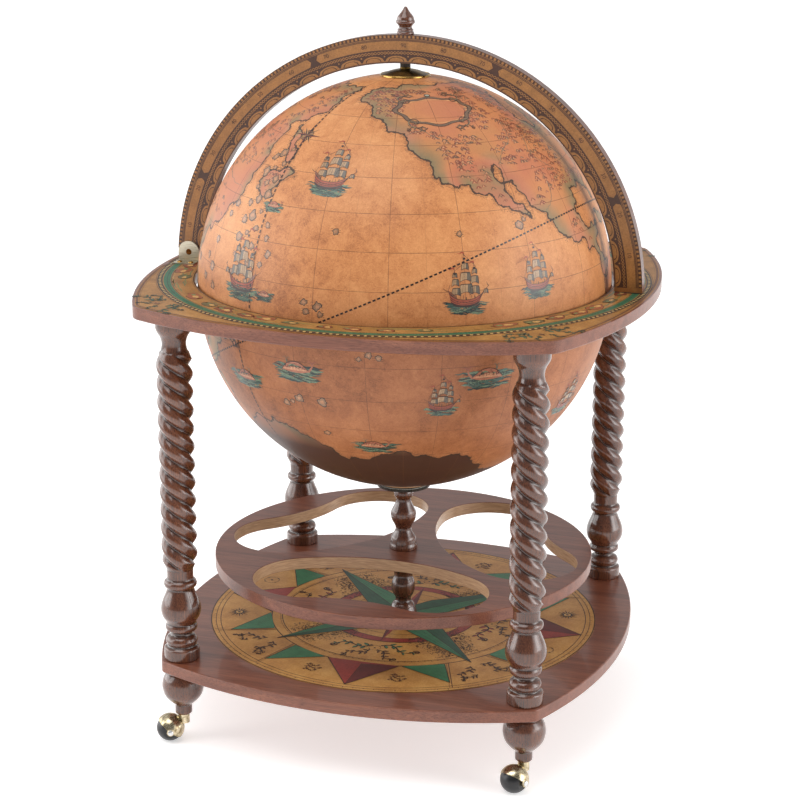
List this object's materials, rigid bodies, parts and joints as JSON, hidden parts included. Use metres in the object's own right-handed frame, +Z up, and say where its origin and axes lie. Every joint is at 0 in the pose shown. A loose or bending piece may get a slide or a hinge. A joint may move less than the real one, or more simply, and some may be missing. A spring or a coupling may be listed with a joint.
{
  "type": "bar globe",
  "caption": "Floor-standing globe on four turned twist legs with casters; the upper half hinges open on a half meridian over a bar tray, and both halves turn.",
  "frame": {"origin": "on the floor, on the globe's vertical axis", "axes": "+Z up; the meridian lies in the XZ plane with its hinge at -X; the front is -Y"},
  "size_m": [0.734, 0.734, 1.0446],
  "materials": {
    "walnut": "walnut-stained turned beech under gloss lacquer",
    "printed_paper": "varnished printed paper",
    "arc_print": "varnished print on a bent wood arc",
    "globe_map": "varnished printed map on a moulded shell",
    "tray_board": "satin lacquered board",
    "beech": "raw",
    "steel": "zinc plated",
    "nylon": "natural",
    "brass": "aged",
    "nickel_brass": "pale polished",
    "bronze": "dark",
    "felt": "pressed felt",
    "antique_brass": "antique plated",
    "caster_black": "moulded nylon",
    "caster_chrome": "polished"
  },
  "bodies": {
    "stand": {"horizon_board": "walnut", "horizon_print": "printed_paper", "bottom_shelf": "walnut", "shelf_print": "printed_paper", "middle_shelf": "walnut", "column_lower": "walnut", "column_upper": "walnut", "tie_rod": "steel", "tie_rod_nuts": "steel", "dowel_screws": "steel", "turntable_base": "steel", "turntable_washer": "nylon", "leg_front_left": "walnut", "leg_front_right": "walnut", "leg_back_right": "walnut", "leg_back_left": "walnut", "foot_front_left": "walnut", "foot_front_right": "walnut", "foot_back_right": "walnut", "foot_back_left": "walnut", "caster_socket_front_left": "antique_brass", "caster_socket_front_right": "antique_brass", "caster_socket_back_right": "antique_brass", "caster_socket_back_left": "antique_brass", "hinge_bracket_front": "nickel_brass", "hinge_bracket_back": "nickel_brass", "hinge_pin": "bronze", "hinge_screws": "brass", "rest_pad": "felt"},
    "bowl": {"turntable_top": "steel", "bowl_boss": "beech", "bowl_floor_plate": "beech", "bowl_screws": "steel", "bowl_shell": "globe_map", "bowl_rim": "walnut", "tray_ledge": "walnut", "bar_tray": "tray_board", "bottle_rack": "tray_board", "rack_posts": "walnut"},
    "meridian": {"meridian_arc": "arc_print", "polar_spindle": "steel", "spindle_washer": "steel", "spindle_nut": "steel", "finial": "walnut"},
    "lid": {"lid_shell": "globe_map", "lid_rim": "walnut", "polar_bush": "nylon", "polar_cap": "brass"},
    "caster_front_left": {"caster_hood_front_left": "antique_brass", "caster_axle_front_left": "caster_chrome"},
    "wheel_front_left": {"caster_wheel_front_left": "caster_black"},
    "caster_front_right": {"caster_hood_front_right": "antique_brass", "caster_axle_front_right": "caster_chrome"},
    "wheel_front_right": {"caster_wheel_front_right": "caster_black"},
    "caster_back_right": {"caster_hood_back_right": "antique_brass", "caster_axle_back_right": "caster_chrome"},
    "wheel_back_right": {"caster_wheel_back_right": "caster_black"},
    "caster_back_left": {"caster_hood_back_left": "antique_brass", "caster_axle_back_left": "caster_chrome"},
    "wheel_back_left": {"caster_wheel_back_left": "caster_black"}
  },
  "joints": [
    {"name": "bowl_spin", "type": "hinge", "parent": "stand", "child": "bowl", "pos_m": [0, 0, 0.345], "axis": [0, 0, 1], "continuous": true},
    {"name": "meridian_hinge", "type": "hinge", "parent": "stand", "child": "meridian", "pos_m": [-0.3335, 0, 0.6723], "axis": [0, -1, 0], "range_deg": [0, 67.5]},
    {"name": "lid_spin", "type": "hinge", "parent": "meridian", "child": "lid", "pos_m": [0, 0, 0.95], "axis": [0, 0, 1], "continuous": true},
    {"name": "swivel_front_left", "type": "hinge", "parent": "stand", "child": "caster_front_left", "pos_m": [-0.25541, -0.25541, 0.05], "axis": [0, 0, 1], "continuous": true},
    {"name": "roll_front_left", "type": "hinge", "parent": "caster_front_left", "child": "wheel_front_left", "pos_m": [-0.27399, -0.26407, 0.0195], "axis": [0.4226, -0.9063, 0], "continuous": true},
    {"name": "swivel_front_right", "type": "hinge", "parent": "stand", "child": "caster_front_right", "pos_m": [0.25541, -0.25541, 0.05], "axis": [0, 0, 1], "continuous": true},
    {"name": "roll_front_right", "type": "hinge", "parent": "caster_front_right", "child": "wheel_front_right", "pos_m": [0.24674, -0.27399, 0.0195], "axis": [0.9063, -0.4226, 0], "continuous": true},
    {"name": "swivel_back_right", "type": "hinge", "parent": "stand", "child": "caster_back_right", "pos_m": [0.25541, 0.25541, 0.05], "axis": [0, 0, 1], "continuous": true},
    {"name": "roll_back_right", "type": "hinge", "parent": "caster_back_right", "child": "wheel_back_right", "pos_m": [0.25362, 0.23498, 0.0195], "axis": [0.9962, -0.0872, 0], "continuous": true},
    {"name": "swivel_back_left", "type": "hinge", "parent": "stand", "child": "caster_back_left", "pos_m": [-0.25541, 0.25541, 0.05], "axis": [0, 0, 1], "continuous": true},
    {"name": "roll_back_left", "type": "hinge", "parent": "caster_back_left", "child": "wheel_back_left", "pos_m": [-0.27111, 0.24223, 0.0195], "axis": [0.6428, -0.766, 0], "continuous": true}
  ]
}
